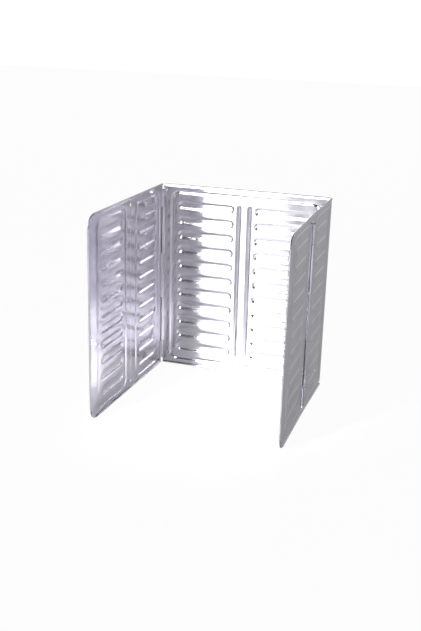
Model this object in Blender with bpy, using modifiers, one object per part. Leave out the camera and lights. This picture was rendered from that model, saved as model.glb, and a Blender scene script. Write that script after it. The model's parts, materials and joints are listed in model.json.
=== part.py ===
"""Folding splash guard: five pressed aluminium panels hinged in a row, standing round a stove.

Metres, +Z up. The origin is the middle of the back wall's foot. The back wall lies along X and the two side
walls run towards -Y, each as an inner and an outer panel. Every panel is one open sheet surface with pressed
ribs and beads, hems rolled round a rim wire and hinge edges curled into knuckles round a wire pin, and a
Solidify modifier gives it the sheet's thickness.
"""

import math

import bmesh
import bpy
from mathutils import Matrix, Vector

MM = 0.001

# Walls: widths run from hinge axis to hinge axis, or from hinge axis to free edge
HEIGHT = 325.0 * MM
BACK_WIDTH = 286.0 * MM
INNER_WIDTH = 129.0 * MM
OUTER_WIDTH = 147.0 * MM
SHEET = 0.5 * MM

# How the walls stand: inside angles at the back corners, and the right outer panel's small outward bend
LEFT_CORNER_ANGLE = math.radians(93.0)
RIGHT_CORNER_ANGLE = math.radians(88.2)
LEFT_MID_BEND = math.radians(0.0)
RIGHT_MID_BEND = math.radians(1.2)

# Running gap between pieces that touch on the real object
GAP = 0.3 * MM

# Curls are swept in steps of one twelfth of a turn, so that their flats lie square to the sheet
CURL_SIDES = 12
CURL_STEP = 2 * math.pi / CURL_SIDES
HALF_STEP = CURL_STEP / 2
CURL_STEPS = 9

# Hinges: a wire pin in knuckles curled from the sheet's own edge
PIN_RADIUS = 1.5 * MM
PIN_HEAD_RADIUS = 2.1 * MM
PIN_HEAD_HEIGHT = 1.2 * MM
PIN_HEAD_TOP_RADIUS = 1.575 * MM
PIN_SIDES = 16
KNUCKLE_COUNT = 5
END_KNUCKLE = 31.0 * MM
KNUCKLE_GAP = 0.6 * MM
KNUCKLE_CLEARANCE = 0.4 * MM
CORNER_BARREL_INSET = 10.5 * MM
MID_BARREL_INSET = 15.0 * MM
KNUCKLE_MID = PIN_RADIUS + GAP + SHEET / 2
KNUCKLE_INNER = KNUCKLE_MID - SHEET / 2
KNUCKLE_OUTER = KNUCKLE_MID + SHEET / 2
TAB_END = KNUCKLE_MID * math.tan(HALF_STEP)

# A panel's hinge edge is cut back beside the other panel's knuckles. Past the barrel's ends it reaches the axis
EDGE_CUT = math.sqrt((KNUCKLE_OUTER + KNUCKLE_CLEARANCE) ** 2 - KNUCKLE_INNER**2)
HINGE_END = 0.5 * MM
CORNER_END_DEPTH = 8.0 * MM
MID_END_DEPTH = 10.0 * MM
HINGE_CORNER_RADIUS = 0.8 * MM
HINGE_CORNER_STEPS = 3
HEM_START = HINGE_END + HINGE_CORNER_RADIUS

# Hems: the sheet steps out by the hem's radius and rolls round the rim wire
WIRE_RADIUS = 0.8 * MM
HEM_MID = WIRE_RADIUS + GAP + SHEET / 2
HEM_OUTER = HEM_MID + SHEET / 2
HEM_STEP = 2.6 * MM
HEM_DEPTH = HEM_OUTER + HEM_STEP
FREE_CORNER_RADIUS = 19.0 * MM
FREE_CORNER_STEPS = 8
WIRE_BEND_RADIUS = FREE_CORNER_RADIUS - HEM_OUTER
BARE_WIRE_GAP = 0.5 * MM
BARE_CORNER_INSET = math.radians(4)
WIRE_SETBACK = 0.3 * MM

# Pressed beads and ribs, all raised towards the inside of the guard
RIB_ROWS = 11
RIB_HEIGHT = 14.0 * MM
RIB_RELIEF = 1.4 * MM
RIB_SLOPE = 2.6 * MM
RIB_END_STEPS = 6
FRAME_WIDTH = 6.0 * MM
FRAME_SLOPE = 1.8 * MM
FRAME_RELIEF = 1.2 * MM
FRAME_CORNER_RADIUS = 13.0 * MM
FRAME_CORNER_STEPS = 5
FRAME_FROM_EDGE = 12.5 * MM
FRAME_FROM_CORNER_HINGE = 16.0 * MM
FRAME_FROM_MID_HINGE = 19.4 * MM
FRAME_FROM_FREE_EDGE = 28.0 * MM
RIB_FROM_FRAME = 11.0 * MM
RIB_ROWS_FROM_FRAME = 15.5 * MM
CENTRE_BEAD_WIDTH = 7.0 * MM
CENTRE_BEAD_SPACING = 18.6 * MM
CENTRE_BEAD_FROM_FRAME = 14.0 * MM
RIB_FROM_CENTRE_BEAD = 5.0 * MM

# What the frame bead leaves inside it: the ribs share its height out, and the centre beads run nearly all of it
FRAME_HEIGHT = HEIGHT - 2 * FRAME_FROM_EDGE
RIB_PITCH = (FRAME_HEIGHT - 2 * RIB_ROWS_FROM_FRAME - RIB_HEIGHT) / (RIB_ROWS - 1)
CENTRE_BEAD_LENGTH = FRAME_HEIGHT - 2 * CENTRE_BEAD_FROM_FRAME

COLLECTION = "folding_splash_guard"
SHARP_ANGLE = math.radians(25)
QUARTER = math.pi / 2


def clear_scene():
    """Remove whatever the open file holds."""
    for obj in list(bpy.data.objects):
        bpy.data.objects.remove(obj)


def principled(name, colour, metallic, roughness):
    """Make a material with one plain Principled finish."""
    material = bpy.data.materials.new(name)
    material.use_nodes = True
    shader = material.node_tree.nodes["Principled BSDF"]
    shader.inputs["Base Color"].default_value = (*colour, 1.0)
    shader.inputs["Metallic"].default_value = metallic
    shader.inputs["Roughness"].default_value = roughness
    return material


def add_object(name, mesh, material, parent):
    """Put a mesh into the object's collection, hung on its joint's empty."""
    obj = bpy.data.objects.new(name, mesh)
    obj.data.materials.append(material)
    bpy.data.collections[COLLECTION].objects.link(obj)
    obj.parent = parent
    mesh.shade_smooth()
    mesh.set_sharp_from_angle(angle=SHARP_ANGLE)
    return obj


def add_axis(name, parent, place, turn):
    """An empty on a joint's axis, turned so that its X runs along the panel that it carries."""
    empty = bpy.data.objects.new(name, None)
    empty.empty_display_size = 0.02
    bpy.data.collections[COLLECTION].objects.link(empty)
    empty.parent = parent
    empty.location = place
    empty.rotation_euler = (0.0, 0.0, turn)
    return empty


def arc(centre, radius, start, end, steps):
    """Points (u, z) along an arc, both ends included."""
    turns = (start + (end - start) * i / steps for i in range(steps + 1))
    return [(centre[0] + radius * math.cos(t), centre[1] + radius * math.sin(t)) for t in turns]


def rounded_box(low, high, radius, steps):
    """Points (u, z) round a box with round corners, anticlockwise."""
    corners = (
        (high[0] - radius, low[1] + radius),
        (high[0] - radius, high[1] - radius),
        (low[0] + radius, high[1] - radius),
        (low[0] + radius, low[1] + radius),
    )
    points = []
    for turn, centre in enumerate(corners, start=-1):
        points += arc(centre, radius, turn * QUARTER, (turn + 1) * QUARTER, steps)
    return points


def stadium(low, high):
    """Points (u, z) round a bar with half-round ends, lying along its longer side."""
    flat = high[0] - low[0] > high[1] - low[1]
    radius = (high[1] - low[1] if flat else high[0] - low[0]) / 2
    first = -QUARTER if flat else 0.0
    ends = ((high[0] - radius, high[1] - radius), (low[0] + radius, low[1] + radius))
    near = arc(ends[0], radius, first, first + 2 * QUARTER, RIB_END_STEPS)
    return near + arc(ends[1], radius, first + 2 * QUARTER, first + 4 * QUARTER, RIB_END_STEPS)


def knuckle_spans(inset):
    """The heights (low, high) of a hinge's knuckles: two short ends and equal long ones between."""
    low = inset
    long_knuckle = (HEIGHT - 2 * inset - 2 * END_KNUCKLE) / (KNUCKLE_COUNT - 2)
    spans = []
    for i in range(KNUCKLE_COUNT):
        length = END_KNUCKLE if i in (0, KNUCKLE_COUNT - 1) else long_knuckle
        spans.append((low + KNUCKLE_GAP / 2, low + length - KNUCKLE_GAP / 2))
        low += length
    return spans


class Edge:
    """One upright edge of a panel: a hinge with its knuckles, or a free edge with its hem."""

    def __init__(self, barrel_inset=None, end_depth=0.0, first_knuckle=0, barrel_side=1):
        self.is_hinge = barrel_inset is not None
        self.end_depth = end_depth
        self.barrel_side = barrel_side
        self.spans = knuckle_spans(barrel_inset)[first_knuckle::2] if self.is_hinge else []


def hinge_profile(end_depth):
    """Bottom and top end of a hinge edge at u = 0, with the panel at +u: a round corner, then the cut back."""
    centre = (HEM_START, HEM_DEPTH + HINGE_CORNER_RADIUS)
    bottom = arc(centre, HINGE_CORNER_RADIUS, -QUARTER, -2 * QUARTER, HINGE_CORNER_STEPS)
    bottom += [(HINGE_END, end_depth), (EDGE_CUT, end_depth)]
    top = [(u, HEIGHT - z) for u, z in reversed(bottom)]
    return bottom, top


def free_profile():
    """The same for a free edge at u = 0: the sheet stops short of the bare wire round each corner."""
    bend = FREE_CORNER_RADIUS
    sheet_radius = WIRE_BEND_RADIUS - WIRE_RADIUS - BARE_WIRE_GAP
    start = -QUARTER - BARE_CORNER_INSET
    end = -2 * QUARTER + BARE_CORNER_INSET
    bottom = [(bend, HEM_DEPTH)]
    bottom += arc((bend, bend), sheet_radius, start, end, FREE_CORNER_STEPS)
    bottom += [(HEM_DEPTH, bend)]
    top = [(u, HEIGHT - z) for u, z in reversed(bottom)]
    return bottom, top


def edge_points(edge):
    """Points up one upright edge at u = 0, from the bottom hem to the top hem."""
    if not edge.is_hinge:
        bottom, top = free_profile()
        return bottom + top
    bottom, top = hinge_profile(edge.end_depth)
    points = list(bottom)
    for low, high in edge.spans:
        points += [(EDGE_CUT, low), (-TAB_END, low), (-TAB_END, high), (EDGE_CUT, high)]
    return points + top


def mesh_loop(bm, points, height):
    """A closed ring of vertices and edges at one height off the sheet's plane."""
    ring = [bm.verts.new((u, height, z)) for u, z in points]
    return [bm.edges.new((a, b)) for a, b in zip(ring, ring[1:] + ring[:1])]


def fill(bm, loops):
    """Fill the flat region between an outer ring of edges and the rings inside it."""
    edges = [edge for loop in loops for edge in loop]
    bmesh.ops.triangle_fill(bm, use_beauty=True, use_dissolve=False, edges=edges)


def close_ring(bm, loop):
    """One flat face inside a ring of edges, facing the inside of the guard."""
    face = bmesh.ops.contextual_create(bm, geom=loop)["faces"][0]
    face.normal_update()
    if face.normal.y < 0:
        face.normal_flip()
    return face


def press(bm, face, slope, relief):
    """Draw a face in by the width of a slope and move it up or down by the relief."""
    bmesh.ops.inset_region(
        bm, faces=[face], thickness=slope, depth=relief, use_even_offset=True, use_boundary=True
    )


def press_ribs(bm, loops):
    """Close each rib's ring with a face and press it up on a sloping wall."""
    for loop in loops:
        press(bm, close_ring(bm, loop), RIB_SLOPE, RIB_RELIEF)


def press_frame(bm, low, high):
    """The raised frame bead, pressed up and down again. Returns its outer and its inner ring of edges."""
    half = FRAME_WIDTH / 2
    outer_low = (low[0] - half, low[1] - half)
    outer_high = (high[0] + half, high[1] + half)
    points = rounded_box(outer_low, outer_high, FRAME_CORNER_RADIUS + half, FRAME_CORNER_STEPS)
    field = close_ring(bm, mesh_loop(bm, points, 0.0))
    press(bm, field, FRAME_SLOPE, FRAME_RELIEF)
    press(bm, field, FRAME_WIDTH - 2 * FRAME_SLOPE, 0.0)
    press(bm, field, FRAME_SLOPE, -FRAME_RELIEF)
    inside = list(field.edges)
    bmesh.ops.delete(bm, geom=[field], context="FACES_ONLY")
    outside = [edge for edge in bm.edges if edge.is_boundary and edge not in inside]
    return outside, inside


def rib_columns(low, high, is_back):
    """Outlines of the ribs inside a frame bead, and of the back wall's two upright beads."""
    left = low[0] + RIB_FROM_FRAME
    right = high[0] - RIB_FROM_FRAME
    middle = (low[0] + high[0]) / 2
    columns = [(left, right)]
    outlines = []
    if is_back:
        bead_reach = (CENTRE_BEAD_SPACING + CENTRE_BEAD_WIDTH) / 2
        inner_end = bead_reach + RIB_FROM_CENTRE_BEAD
        columns = [(left, middle - inner_end), (middle + inner_end, right)]
        for side in (-1, 1):
            centre = middle + side * CENTRE_BEAD_SPACING / 2
            bead_low = (centre - CENTRE_BEAD_WIDTH / 2, (HEIGHT - CENTRE_BEAD_LENGTH) / 2)
            bead_high = (centre + CENTRE_BEAD_WIDTH / 2, (HEIGHT + CENTRE_BEAD_LENGTH) / 2)
            outlines.append(stadium(bead_low, bead_high))
    for row in range(RIB_ROWS):
        height = HEIGHT / 2 + (row - (RIB_ROWS - 1) / 2) * RIB_PITCH
        for start, end in columns:
            outlines.append(stadium((start, height - RIB_HEIGHT / 2), (end, height + RIB_HEIGHT / 2)))
    return outlines


def find_edge(bm, first, last):
    """The edge of the flat sheet that runs between two points (u, z), whichever way round."""
    ends = [Vector((u, 0, z)) for u, z in (first, last)]

    def miss(edge):
        a, b = (v.co for v in edge.verts)
        forward = (a - ends[0]).length + (b - ends[1]).length
        backward = (a - ends[1]).length + (b - ends[0]).length
        return min(forward, backward)

    return min((edge for edge in bm.edges if edge.is_boundary), key=miss)


def extrude_edge(bm, edge, shift):
    """Fold out a strip of sheet from an edge, and return the strip's far edge."""
    made = bmesh.ops.extrude_edge_only(bm, edges=[edge])["geom"]
    far = [item for item in made if isinstance(item, bmesh.types.BMVert)]
    bmesh.ops.translate(bm, verts=far, vec=shift)
    return bm.edges.get(far)


def curl(bm, edge, centre, axis):
    """Roll an edge of the sheet round an axis, three quarters of a turn."""
    bmesh.ops.spin(
        bm, geom=[edge, *edge.verts], cent=centre, axis=axis, dvec=(0, 0, 0), angle=CURL_STEP * CURL_STEPS,
        steps=CURL_STEPS, use_duplicate=False,
    )


def roll_hem(bm, first, last, outward):
    """Step the sheet's edge back behind the rim wire and roll it over the wire towards the inside."""
    edge = find_edge(bm, first, last)
    out = Vector((outward[0], 0, outward[1]))
    start = (edge.verts[0].co + edge.verts[1].co) / 2
    wire = start + out * HEM_STEP
    step = out * (HEM_STEP - HEM_MID * math.tan(HALF_STEP)) + Vector((0, -HEM_MID, 0))
    edge = extrude_edge(bm, edge, step)
    curl(bm, edge, wire, out.cross(Vector((0, 1, 0))))


def curl_knuckles(bm, edge, axis_u, inward):
    """Roll each tab of a hinge edge round the hinge axis, towards the barrel's side of the sheet."""
    centre = Vector((axis_u, edge.barrel_side * KNUCKLE_MID, 0))
    tab_u = axis_u - inward * TAB_END
    for low, high in edge.spans:
        tab = find_edge(bm, (tab_u, low), (tab_u, high))
        curl(bm, tab, centre, (0, 0, -inward * edge.barrel_side))


def sheet_surface(width, near, far, is_back):
    """The open surface of a panel: x runs from the near edge at 0 to the far edge, +y is the inside."""
    bm = bmesh.new()
    near_points = edge_points(near)
    far_points = [(width - u, z) for u, z in edge_points(far)]
    outline = mesh_loop(bm, far_points + near_points[::-1], 0.0)

    insets = {True: FRAME_FROM_CORNER_HINGE, False: FRAME_FROM_MID_HINGE}
    near_inset = insets[near.barrel_side > 0]
    far_inset = insets[far.barrel_side > 0] if far.is_hinge else FRAME_FROM_FREE_EDGE
    low = (near_inset, FRAME_FROM_EDGE)
    high = (width - far_inset, HEIGHT - FRAME_FROM_EDGE)
    frame_outside, frame_inside = press_frame(bm, low, high)
    ribs = [mesh_loop(bm, points, 0.0) for points in rib_columns(low, high, is_back)]
    fill(bm, [outline, frame_outside])
    fill(bm, [frame_inside, *ribs])
    press_ribs(bm, ribs)

    roll_hem(bm, near_points[0], far_points[0], (0, -1))
    roll_hem(bm, near_points[-1], far_points[-1], (0, 1))
    curl_knuckles(bm, near, 0.0, 1)
    if far.is_hinge:
        curl_knuckles(bm, far, width, -1)
    else:
        edge_u = width - HEM_DEPTH
        roll_hem(bm, (edge_u, FREE_CORNER_RADIUS), (edge_u, HEIGHT - FREE_CORNER_RADIUS), (1, 0))
    return bm


def add_panel(name, parent, material, width, near, far, plane, side=1, is_back=False):
    """Add a panel whose sheet lies at y = plane, its inside towards +y or, with side -1, towards -y."""
    bm = sheet_surface(width, near, far, is_back)
    start = -width / 2 if is_back else 0.0
    bm.transform(Matrix.Translation((start, plane, 0)) @ Matrix.Diagonal((1, side, 1, 1)))
    bmesh.ops.recalc_face_normals(bm, faces=bm.faces)
    mesh = bpy.data.meshes.new(name)
    bm.to_mesh(mesh)
    bm.free()
    panel = add_object(name, mesh, material, parent)
    solidify = panel.modifiers.new("sheet", "SOLIDIFY")
    solidify.thickness = SHEET
    solidify.offset = 0.0
    solidify.use_even_offset = True
    return panel


def add_pin(name, parent, material, place, inset):
    """A wire hinge pin with a peened head past each end of the barrel, turned from its half profile."""
    low = inset + KNUCKLE_GAP / 2 - GAP
    high = HEIGHT - low
    profile = [
        (0, high + PIN_HEAD_HEIGHT),
        (PIN_HEAD_TOP_RADIUS, high + PIN_HEAD_HEIGHT),
        (PIN_HEAD_RADIUS, high + PIN_HEAD_HEIGHT / 2),
        (PIN_HEAD_RADIUS, high),
        (PIN_RADIUS, high),
        (PIN_RADIUS, low),
        (PIN_HEAD_RADIUS, low),
        (PIN_HEAD_RADIUS, low - PIN_HEAD_HEIGHT / 2),
        (PIN_HEAD_TOP_RADIUS, low - PIN_HEAD_HEIGHT),
        (0, low - PIN_HEAD_HEIGHT),
    ]
    mesh = bpy.data.meshes.new(name)
    verts = [(x, 0, z) for x, z in profile]
    mesh.from_pydata(verts, [(i, i + 1) for i in range(len(verts) - 1)], [])
    pin = add_object(name, mesh, material, parent)
    pin.location = place
    turn = pin.modifiers.new("turned", "SCREW")
    turn.steps = PIN_SIDES
    turn.render_steps = PIN_SIDES
    turn.use_merge_vertices = True
    turn.merge_threshold = 0.00001
    turn.use_normal_calculate = True
    return pin


def add_wire(name, parent, material, points, plane):
    """A rim wire along points (u, z) in the sheet's plane."""
    curve = bpy.data.curves.new(name, "CURVE")
    curve.dimensions = "3D"
    curve.bevel_depth = WIRE_RADIUS
    curve.bevel_resolution = 2
    curve.use_fill_caps = True
    spline = curve.splines.new("POLY")
    spline.points.add(len(points) - 1)
    for point, (u, z) in zip(spline.points, points):
        point.co = (u, plane, z, 1)
    wire = bpy.data.objects.new(name, curve)
    curve.materials.append(material)
    bpy.data.collections[COLLECTION].objects.link(wire)
    wire.parent = parent
    return wire


def add_straight_wires(prefix, parent, material, start, end, plane):
    """The top and the bottom rim wire of a panel with a hinge on both sides."""
    setback = HEM_START + WIRE_SETBACK
    for name, z in (("top", HEIGHT - HEM_OUTER), ("bottom", HEM_OUTER)):
        add_wire(f"{prefix}_{name}_wire", parent, material, [(start + setback, z), (end - setback, z)], plane)


def add_bent_wire(name, parent, material, plane):
    """The rim wire round an outer panel's three free edges."""
    start = HEM_START + WIRE_SETBACK
    bend_u = OUTER_WIDTH - FREE_CORNER_RADIUS
    steps = FREE_CORNER_STEPS
    bottom = arc((bend_u, FREE_CORNER_RADIUS), WIRE_BEND_RADIUS, -QUARTER, 0, steps)
    top = arc((bend_u, HEIGHT - FREE_CORNER_RADIUS), WIRE_BEND_RADIUS, 0, QUARTER, steps)
    points = [(start, HEM_OUTER), *bottom, *top, (start, HEIGHT - HEM_OUTER)]
    add_wire(name, parent, material, points, plane)


def add_side_wall(prefix, side, corner_turn, mid_turn, aluminium, steel):
    """One side wall: inner panel on the corner hinge, outer panel on the mid hinge behind it."""
    corner_place = (side * -BACK_WIDTH / 2, -KNUCKLE_MID, 0)
    corner = add_axis(f"{prefix}_corner_axis", None, corner_place, corner_turn)
    plane = -side * KNUCKLE_MID
    near = Edge(CORNER_BARREL_INSET, CORNER_END_DEPTH, 1, 1)
    far = Edge(MID_BARREL_INSET, MID_END_DEPTH, 0, -1)
    add_panel(f"{prefix}_inner_panel", corner, aluminium, INNER_WIDTH, near, far, plane, side)
    add_straight_wires(f"{prefix}_inner", corner, steel, 0, INNER_WIDTH, plane)

    mid_place = (INNER_WIDTH, 2 * plane, 0)
    mid = add_axis(f"{prefix}_mid_axis", corner, mid_place, mid_turn)
    near = Edge(MID_BARREL_INSET, MID_END_DEPTH, 1, -1)
    add_panel(f"{prefix}_outer_panel", mid, aluminium, OUTER_WIDTH, near, Edge(), -plane, side)
    add_bent_wire(f"{prefix}_outer_rim_wire", mid, steel, -plane)
    add_pin(f"{prefix}_mid_pin", corner, steel, mid_place, MID_BARREL_INSET)
    add_pin(f"{prefix}_corner_pin", None, steel, corner_place, CORNER_BARREL_INSET)


def main():
    clear_scene()
    bpy.context.scene.collection.children.link(bpy.data.collections.new(COLLECTION))
    aluminium = principled("bright_rolled_aluminium", (0.66, 0.65, 0.68), 1.0, 0.22)
    steel = principled("drawn_steel_wire", (0.33, 0.33, 0.33), 1.0, 0.35)

    near = Edge(CORNER_BARREL_INSET, CORNER_END_DEPTH, 0, 1)
    far = Edge(CORNER_BARREL_INSET, CORNER_END_DEPTH, 0, 1)
    add_panel("back_panel", None, aluminium, BACK_WIDTH, near, far, 0.0, -1, is_back=True)
    add_straight_wires("back", None, steel, -BACK_WIDTH / 2, BACK_WIDTH / 2, 0.0)
    add_side_wall("left", 1, -LEFT_CORNER_ANGLE, LEFT_MID_BEND, aluminium, steel)
    add_side_wall("right", -1, RIGHT_CORNER_ANGLE - math.pi, RIGHT_MID_BEND, aluminium, steel)
    bpy.context.view_layer.update()


main()
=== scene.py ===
"""Looks of the folding splash guard: five pressed aluminium panels, hinged in a row round a stove.

Every panel is rebuilt here as one fine sheet surface. Its flat blank, with the curled knuckles and the
rolled hems, is a grid of quads. A Geometry Nodes tree then presses the frame bead, the ribs and the centre
beads into it, as the real press tool does in one stroke, and a Solidify modifier gives it the thickness of
the sheet. Pins and rim wires are turned and swept anew, in the places that the frame gives. Metres, +Z up,
the frame's own origin.
"""

import json
import logging
import math
from collections.abc import Callable, Sequence
from dataclasses import dataclass, field
from enum import Enum

import bmesh
import bpy
import numpy as np
from mathutils import Matrix, Vector


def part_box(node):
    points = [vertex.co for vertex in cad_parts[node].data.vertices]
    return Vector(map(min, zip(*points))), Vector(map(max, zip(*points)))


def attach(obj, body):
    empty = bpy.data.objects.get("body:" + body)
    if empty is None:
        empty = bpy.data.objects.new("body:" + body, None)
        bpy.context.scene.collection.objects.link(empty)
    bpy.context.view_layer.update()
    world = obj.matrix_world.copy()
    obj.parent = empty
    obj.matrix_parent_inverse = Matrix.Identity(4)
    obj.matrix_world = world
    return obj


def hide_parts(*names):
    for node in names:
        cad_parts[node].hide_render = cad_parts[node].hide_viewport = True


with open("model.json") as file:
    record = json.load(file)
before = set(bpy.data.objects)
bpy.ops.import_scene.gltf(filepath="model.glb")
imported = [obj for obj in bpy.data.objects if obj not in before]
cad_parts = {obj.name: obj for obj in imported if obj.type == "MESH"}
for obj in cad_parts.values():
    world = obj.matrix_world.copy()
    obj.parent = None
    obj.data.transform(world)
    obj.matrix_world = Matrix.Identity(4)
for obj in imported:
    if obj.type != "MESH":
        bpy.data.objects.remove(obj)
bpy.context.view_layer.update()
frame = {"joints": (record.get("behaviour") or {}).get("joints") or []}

MM = 0.001
MATH = "ShaderNodeMath"
VECTOR_MATH = "ShaderNodeVectorMath"
MAP_RANGE = "ShaderNodeMapRange"
NOISE = "ShaderNodeTexNoise"
SHEET_UV = "sheet_blank"
# Slack for rounding: in metres where points are compared, as a share of a step where steps are counted
HAIR = 1e-6
# Edges that turn by more than this stay crisp
SHARP_ANGLE = math.radians(38)
log = logging.getLogger("splash_guard")

Spots = tuple[np.ndarray, np.ndarray, np.ndarray]
Place = Callable[[np.ndarray, np.ndarray], Spots]
# A stop of the grid: its position, and the widest step on the way to it
Stop = tuple[float, float]


def srgb(code: str) -> tuple[float, float, float, float]:
    """Turn an sRGB hex value into linear colour, by the standard's own curve.

    Args:
        code: six hex digits with a leading hash.

    Returns:
        Red, green, blue and an alpha of one.
    """
    shares = [int(code[i : i + 2], 16) / 255 for i in (1, 3, 5)]
    linear = [s / 12.92 if s <= 0.04045 else ((s + 0.055) / 1.055) ** 2.4 for s in shares]
    return (*linear, 1.0)


def put(
    tree: bpy.types.NodeTree, kind: str, inputs: dict | Sequence = (), **settings: object
) -> bpy.types.Node:
    """Add one node to a tree, with its settings, values and links.

    Args:
        tree: the node tree that the node goes into.
        kind: the node's type name.
        inputs: values by socket name, or in socket order. A node stands for its first output.
        settings: the node's own properties.

    Returns:
        The new node.
    """
    node = tree.nodes.new(kind)
    for name, value in settings.items():
        setattr(node, name, value)
    pairs = inputs.items() if isinstance(inputs, dict) else enumerate(inputs)
    for name, value in pairs:
        if isinstance(value, bpy.types.Node):
            value = value.outputs[0]
        if isinstance(value, bpy.types.NodeSocket):
            tree.links.new(value, node.inputs[name])
        elif value is not None:
            node.inputs[name].default_value = value
    return node


class EdgeKind(Enum):
    """What an upright edge of a panel ends in."""

    CORNER_HINGE = "corner hinge, barrel on the inside"
    MID_HINGE = "mid hinge, barrel on the outside"
    FREE = "free edge, hemmed"


@dataclass(frozen=True)
class Sheet:
    """Sizes of the sheet metal work that all panels share, in metres."""

    height: float
    thickness: float = 0.5 * MM
    gap: float = 0.3 * MM
    pin_radius: float = 1.5 * MM
    wire_radius: float = 0.8 * MM
    hem_step: float = 2.6 * MM
    knuckle_clearance: float = 0.4 * MM
    knuckle_gap: float = 0.6 * MM
    end_knuckle: float = 31.0 * MM
    knuckle_count: int = 5
    corner_inset: float = 10.5 * MM
    mid_inset: float = 15.0 * MM
    corner_end_depth: float = 8.0 * MM
    mid_end_depth: float = 10.0 * MM
    hinge_end: float = 0.5 * MM
    hinge_corner: float = 0.8 * MM
    free_corner: float = 19.0 * MM
    bare_wire_gap: float = 0.5 * MM
    wire_setback: float = 0.3 * MM
    facet_ease: float = 0.006 * MM
    hem_turn: float = math.radians(268)
    knuckle_turn: float = math.radians(305)
    step_points: int = 5
    roll_steps: int = 16

    @property
    def knuckle_mid(self) -> float:
        """Radius of a knuckle at the middle of the sheet."""
        return self.pin_radius + self.gap + self.thickness / 2

    @property
    def hem_mid(self) -> float:
        """Radius of a rolled hem at the middle of the sheet."""
        return self.wire_radius + self.gap + self.thickness / 2

    @property
    def hem_outer(self) -> float:
        """Radius of a rolled hem on its outside."""
        return self.hem_mid + self.thickness / 2

    @property
    def hem_depth(self) -> float:
        """How far in from the outline the flat of the sheet begins."""
        return self.hem_outer + self.hem_step

    @property
    def edge_cut(self) -> float:
        """How far in from a hinge axis the sheet is cut back beside the other panel's knuckles."""
        reach = self.knuckle_mid + self.thickness / 2 + self.knuckle_clearance
        return math.sqrt(reach**2 - (self.knuckle_mid - self.thickness / 2) ** 2)

    @property
    def hem_start(self) -> float:
        """How far in from a hinge axis a hem begins."""
        return self.hinge_end + self.hinge_corner

    @property
    def wire_bend(self) -> float:
        """Radius of the rim wire's bend round a free corner."""
        return self.free_corner - self.hem_outer

    def spans(self, inset: float, first: int) -> list[tuple[float, float]]:
        """Heights of every other knuckle of a hinge.

        Args:
            inset: the barrel's distance from the top and the bottom edge.
            first: the lowest knuckle that this panel owns, 0 or 1.

        Returns:
            The lower and the upper end of each knuckle.
        """
        long_knuckle = (self.height - 2 * inset - 2 * self.end_knuckle) / (self.knuckle_count - 2)
        low = inset
        spans = []
        for i in range(self.knuckle_count):
            length = self.end_knuckle if i in (0, self.knuckle_count - 1) else long_knuckle
            spans.append((low + self.knuckle_gap / 2, low + length - self.knuckle_gap / 2))
            low += length
        return spans[first::2]

    def hem_profile(self) -> list[tuple[float, float]]:
        """The hem's section from the flat: an easy step back behind the wire, then the roll over it.

        Returns:
            Points (distance outwards, height towards the inside).
        """
        points = []
        for i in range(self.step_points):
            share = i / self.step_points
            points.append((self.hem_step * share, -self.hem_mid * share * share * (3 - 2 * share)))
        radius = self.hem_mid - self.facet_ease
        for i in range(self.roll_steps + 1):
            turn = -math.pi / 2 + self.hem_turn * i / self.roll_steps
            points.append((self.hem_step + radius * math.cos(turn), radius * math.sin(turn)))
        return points

    def knuckle_profile(self, side: int) -> list[tuple[float, float]]:
        """A knuckle's section from the edge cut: flat as far as the axis, then the curl round the pin.

        Args:
            side: 1 for a barrel on the inside of the sheet, -1 for one on the outside.

        Returns:
            Points (distance outwards, height towards the inside).
        """
        points = [(0.0, 0.0), (self.edge_cut / 2, 0.0)]
        radius = self.knuckle_mid - self.facet_ease
        for i in range(self.roll_steps + 1):
            turn = -math.pi / 2 + self.knuckle_turn * i / self.roll_steps
            rise = self.knuckle_mid + radius * math.sin(turn)
            points.append((self.edge_cut + radius * math.cos(turn), side * rise))
        return points


@dataclass(frozen=True)
class Pressing:
    """Sizes of what the press tool leaves in a panel, in metres.

    All of it is pressed outwards, as the light on it in the photograph shows, so it is grooves from the
    inside.
    """

    frame_width: float = 6.0 * MM
    frame_slope: float = 2.6 * MM
    frame_relief: float = 1.18 * MM
    frame_corner: float = 13.0 * MM
    frame_from_edge: float = 12.5 * MM
    frame_from_corner_hinge: float = 16.0 * MM
    frame_from_mid_hinge: float = 19.4 * MM
    frame_from_free_edge: float = 28.0 * MM
    rib_rows: int = 11
    rib_width: float = 14.0 * MM
    rib_relief: float = 1.18 * MM
    rib_slope: float = 2.8 * MM
    rib_from_frame: float = 11.0 * MM
    rows_from_frame: float = 15.5 * MM
    bead_width: float = 7.0 * MM
    bead_spacing: float = 18.6 * MM
    bead_from_frame: float = 14.0 * MM
    bead_relief: float = 1.18 * MM
    bead_slope: float = 3.3 * MM
    rib_from_bead: float = 5.0 * MM
    buckle_height: float = 0.2 * MM
    buckle_length: float = 70.0 * MM
    buckle_ease: float = 20.0 * MM
    buckle_detail: float = 1.5

    def frame_inset(self, kind: EdgeKind) -> float:
        """Look up how far in from an upright edge the frame bead's centre line lies.

        Args:
            kind: what the edge ends in.

        Returns:
            The distance.
        """
        insets = {
            EdgeKind.CORNER_HINGE: self.frame_from_corner_hinge,
            EdgeKind.MID_HINGE: self.frame_from_mid_hinge,
            EdgeKind.FREE: self.frame_from_free_edge,
        }
        return insets[kind]

    def rib_pitch(self, height: float) -> float:
        """Distance from one row of ribs to the next on a panel of this height."""
        field_height = height - 2 * (self.frame_from_edge + self.rows_from_frame)
        return (field_height - self.rib_width) / (self.rib_rows - 1)


# The press tool's sizes that are the same on every panel, each named as its field in Pressing
TOOL_SIZES = (
    "Frame Corner", "Frame Width", "Frame Slope", "Frame Relief", "Rib Rows", "Rib Width", "Rib Slope",
    "Rib Relief", "Bead Width", "Bead From Frame", "Bead Slope", "Bead Relief", "Buckle Height",
    "Buckle Length", "Buckle Ease", "Buckle Detail",
)
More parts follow.
